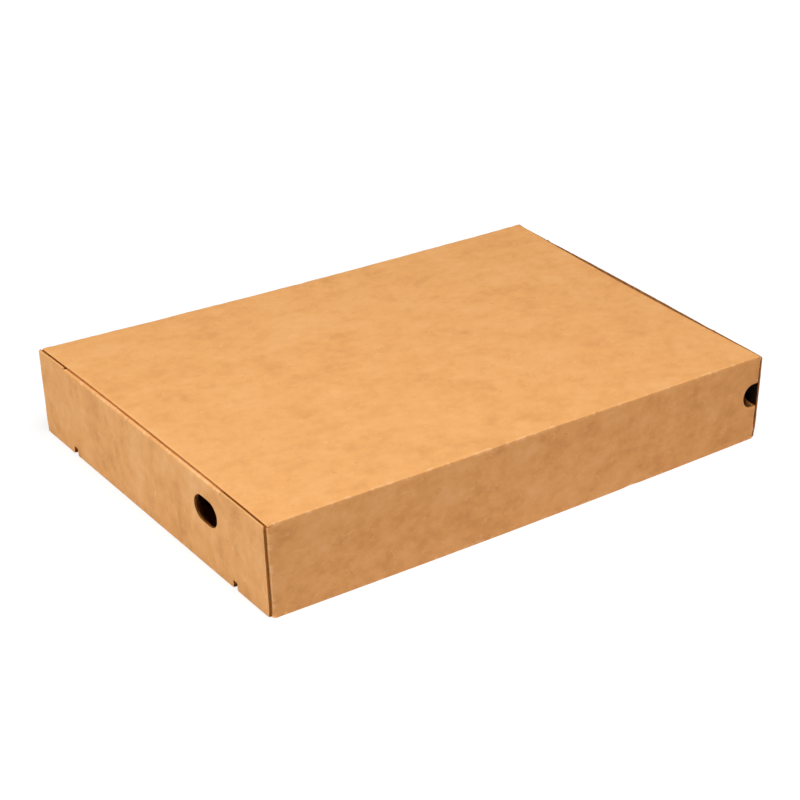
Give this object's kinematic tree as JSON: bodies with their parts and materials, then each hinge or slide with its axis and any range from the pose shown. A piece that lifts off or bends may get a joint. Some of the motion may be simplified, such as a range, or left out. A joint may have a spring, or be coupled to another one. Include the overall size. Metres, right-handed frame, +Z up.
{
  "type": "calzone box",
  "caption": "Low kraft board food box folded from one fluted blank, with rolled end walls, oval vents and a hinged lid with a tuck flap.",
  "frame": {"origin": "middle of the underside, on the surface that the box stands on", "axes": "+X along the long side, +Y from the hinge wall to the front wall, +Z up"},
  "size_m": [0.332, 0.21, 0.05],
  "materials": {
    "kraft_board": "matte brown kraft liner, faint fibres"
  },
  "bodies": {
    "tray": {"tray": "kraft_board"},
    "lid": {"lid": "kraft_board"}
  },
  "joints": [
    {"name": "lid_hinge", "type": "hinge", "parent": "tray", "child": "lid", "pos_m": [0, -0.10425, 0.04925], "axis": [1, 0, 0], "range_deg": [0, 180]}
  ]
}
